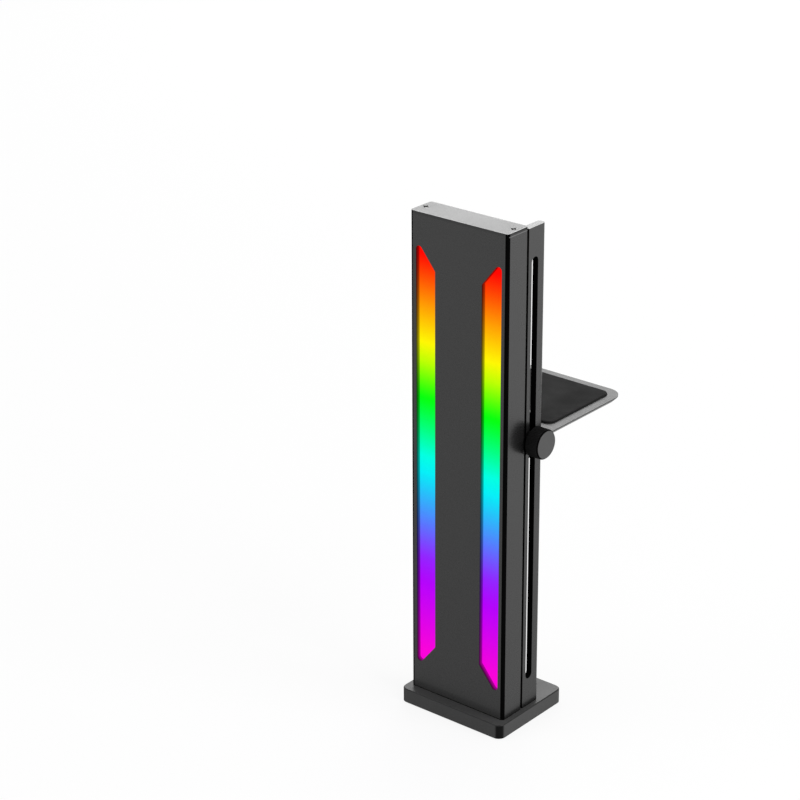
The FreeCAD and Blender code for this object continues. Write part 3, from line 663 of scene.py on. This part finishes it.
def make_knob(grip, face):
    """The thumb screw's head with fine straight knurling between two broken edges."""
    low, high = HEAD_LOW, HEAD_HIGH
    middle = (low + high) / 2
    radius = (high.y - low.y) / 2
    bore = 1.52 * MM
    collar = radius - 1.9 * MM
    neck = 0.15 * MM
    edge = 0.4 * MM
    groove = 0.22 * MM
    groove_shape = 0.8
    ridges = 56
    steps = 6
    count = ridges * steps
    face_material = 1
    first_face_strip = 7

    def plain(size):
        return [size] * count

    knurled = []
    for index in range(count):
        phase = (index % steps) / steps
        knurled.append(radius - groove * (1 - abs(2 * phase - 1)) ** groove_shape)

    # From the bore out over the collar, along the knurling, over the broken edge and in over the face
    mesh = bmesh.new()
    profile = (
        (low.x, plain(bore)),
        (low.x, plain(collar)),
        (low.x + neck, plain(collar)),
        (low.x + neck, plain(radius - edge)),
        (low.x + neck + edge * 0.6, knurled),
        (high.x - edge * 1.4, knurled),
        (high.x - edge * 0.5, plain(radius - 0.3 * MM)),
        (high.x - 0.04 * MM, plain(radius - edge - 0.05 * MM)),
        (high.x, plain(radius - edge - 0.12 * MM)),
        (high.x, plain(radius * 0.5)),
    )
    rings = [ring_of(mesh, x, radii, middle) for x, radii in profile]
    for index, (first, second) in enumerate(zip(rings, rings[1:])):
        join_rings(mesh, first, second, face_material if index >= first_face_strip else 0)
    close_ends(mesh, rings, face_material)
    knob = new_piece("thumb_screw_knurled_head", mesh, [grip, face], "thumb_screw")
    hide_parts("thumb_screw_head")


def make_thread(steel):
    """The stud with its thread, pitch 0.5 mm."""
    low, high = STUD_LOW, STUD_HIGH
    middle = (low + high) / 2
    crest = (high.y - low.y) / 2
    thread_depth = 0.27 * MM
    root = crest - thread_depth
    pitch = 0.5 * MM
    crest_flattening = 1.2
    around = 24
    rows_per_turn = 6
    rows = int((high.x - low.x) / pitch * rows_per_turn)
    mesh = bmesh.new()
    rings = []
    for row in range(rows + 1):
        x = low.x + (high.x - low.x) * row / rows
        radii = []
        for index in range(around):
            phase = ((x - low.x) / pitch + index / around) % 1
            height = 1 - abs(2 * phase - 1)
            radii.append(root + (crest - root) * min(1.0, height * crest_flattening))
        rings.append(ring_of(mesh, x, radii, middle))
    for first, second in zip(rings, rings[1:]):
        join_rings(mesh, first, second)
    close_ends(mesh, rings)
    thread = new_piece("thumb_screw_thread", mesh, [steel], "thumb_screw")
    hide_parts("thumb_screw_stud")


def make_rest_pad(rubber):
    """The soft pad: the solid's outline with a rounded upper edge."""
    low, high = PAD_LOW, PAD_HIGH
    corner = 3.0 * MM
    corner_steps = 8
    edge = 0.45 * MM
    edge_steps = 4
    crown = edge * 2.4
    mesh = bmesh.new()

    def outline(inset, z):
        points = []
        reach = corner - inset
        for quarter, (side, end) in enumerate(((1, 1), (-1, 1), (-1, -1), (1, -1))):
            x = (high.x - corner) if side > 0 else (low.x + corner)
            y = (high.y - corner) if end > 0 else (low.y + corner)
            for step in range(corner_steps + 1):
                angle = math.pi / 2 * (quarter + step / corner_steps)
                point = (x + reach * math.cos(angle), y + reach * math.sin(angle), z)
                points.append(mesh.verts.new(point))
        return points

    rings = [outline(0, low.z), outline(0, high.z - edge)]
    for step in range(1, edge_steps + 1):
        turn = math.pi / 2 * step / edge_steps
        rings.append(outline(edge * (1 - math.cos(turn)), high.z - edge + edge * math.sin(turn)))
    rings.append(outline(crown, high.z))
    for first, second in zip(rings, rings[1:]):
        join_rings(mesh, first, second, smooth=True)
    close_ends(mesh, rings)
    pad = new_piece("rest_pad", mesh, [rubber], "slider")
    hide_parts("card_rest")


def dress_nodes(finishes):
    for node, material in finishes.items():
        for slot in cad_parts[node].material_slots:
            slot.material = material


def make_pieces():
    dark_steel = bare_steel("screw_black", tone=0.05, roughness=0.4)
    rubber = rubber_material("rest_rubber", tone=0.008)
    foot = rubber_material("foot_rubber", tone=0.012)
    board = plain_plastic("circuit_board", grey(0.5), roughness=0.4)
    chip = plain_plastic("light_chip", (0.75, 0.74, 0.66), roughness=0.3)
    light = light_material()
    finishes = {
        "base_plate": base_material(),
        "base_magnets": bare_steel("magnet", tone=0.5, roughness=0.25),
        "anti_slip_sheet": foot,
        "base_screws": dark_steel,
        "cable_grommet": foot,
        "led_housing": housing_material(),
        "light_bar_left": light,
        "light_bar_right": light,
        "light_board_left": board,
        "light_board_right": board,
        "light_chips_left": chip,
        "light_chips_right": chip,
        "board_link": plain_plastic("flat_lead", (0.4, 0.34, 0.22), roughness=0.5),
        "joint_strip": plain_plastic("strip_black", grey(0.002), roughness=0.7, specular=0.1),
        "top_cap": cap_material(),
        "cap_screws": cap_screw_material(),
        "rear_channel": channel_material(),
        "channel_screws": dark_steel,
        "carriage": blasted_black("carriage_black", tone=0.008, roughness=0.5, specular=0.3),
        "tray_plate": blasted_black("tray_black", tone=0.025, roughness=0.38, specular=0.45),
        "tray_screws": dark_steel,
        "clamp_washer": plain_plastic("washer_plastic", grey(0.004), roughness=0.6, specular=0.2),
    }
    dress_nodes(finishes)
    make_knob(knob_grip_material(), knob_face_material())
    make_thread(dark_steel)
    make_rest_pad(rubber)


# Floor, surround, lamps and camera


def seen(owner):
    """1 where the camera sees a surface, itself or in a reflection or through something clear."""
    rays = add_node(owner, "ShaderNodeLightPath").outputs
    return highest(owner, rays["Is Camera Ray"], rays["Is Glossy Ray"], rays["Is Transmission Ray"])


def floor_material():
    """Pale under the lamps, and nearly pure white where it is seen."""
    material = bpy.data.materials.new("floor_pale")
    material.use_nodes = True
    material.node_tree.nodes.clear()
    lit = add_node(material, "ShaderNodeBsdfDiffuse", {"Color": FLOOR_GREY}).outputs[0]
    white = add_node(material, "ShaderNodeEmission", {"Color": WHITE, "Strength": 1.0}).outputs[0]
    shown = add_node(material, "ShaderNodeMixShader", {0: FLOOR_WHITE_SHARE, 1: lit, 2: white}).outputs[0]
    surface = add_node(material, "ShaderNodeMixShader", {0: seen(material), 1: lit, 2: shown}).outputs[0]
    add_node(material, "ShaderNodeOutputMaterial", {"Surface": surface})
    return material


def make_floor():
    """A pale floor that reads as white to the eye and in reflections, and keeps a soft shadow."""
    reach = FLOOR_REACH
    corners = [(-reach, -reach, 0), (reach, -reach, 0), (reach, reach, 0), (-reach, reach, 0)]
    mesh = bpy.data.meshes.new("floor")
    mesh.from_pydata(corners, [], [(0, 1, 2, 3)])
    mesh.materials.append(floor_material())
    floor = add_object("floor", mesh)


def make_world():
    """An even white surround, a little weaker as a light than where it is seen."""
    world = bpy.data.worlds.new("studio")
    world.use_nodes = True
    background = world.node_tree.nodes["Background"]
    feed(world, background.inputs["Color"], WHITE)
    strength = spread(world, seen(world), low=WORLD_LIGHT, high=1.0, start=0.0, end=1.0)
    feed(world, background.inputs["Strength"], strength)
    bpy.context.scene.world = world


def add_lamp(name, place, width, height, power):
    """A soft rectangular lamp that points at the middle of the post."""
    lamp = bpy.data.lights.new(name, "AREA")
    lamp.shape = "RECTANGLE"
    lamp.size = width
    lamp.size_y = height
    lamp.energy = power
    thing = add_object(name, lamp)
    thing.location = place
    thing.rotation_euler = (Vector(LAMP_TARGET) - Vector(place)).to_track_quat("-Z", "Y").to_euler()
    thing.visible_camera = False


def make_lamps():
    add_lamp("soft_key", (-0.7, -0.9, 1.1), width=0.9, height=0.9, power=3.0)
    add_lamp("soft_back", (-0.5, 1.05, 0.62), width=1.0, height=0.6, power=4.8)
    add_lamp("soft_side", (1.0, 0.1, 0.75), width=0.8, height=0.8, power=9.0)


def make_camera():
    """The photograph's viewpoint, solved from the bracket's own edges."""
    place = (0.47190, -0.60808, 0.44109)
    right = Vector((0.7688732, 0.6393758, -0.0057098))
    down = Vector((0.2457206, -0.3037087, -0.9205338))
    forward = Vector((-0.5903011, 0.7063708, -0.3906213))
    turn = Matrix((right, -down, -forward)).transposed()
    camera = add_object("camera", bpy.data.cameras.new("camera"))
    camera.matrix_world = Matrix.Translation(place) @ turn.to_4x4()
    camera.data.sensor_width = 36.0
    camera.data.lens = 113.009
    camera.data.clip_start = 0.01
    camera.data.clip_end = 60.0
    bpy.context.scene.camera = camera


make_pieces()
make_floor()
make_world()
make_lamps()
make_camera()
bpy.context.scene.view_settings.view_transform = "Standard"
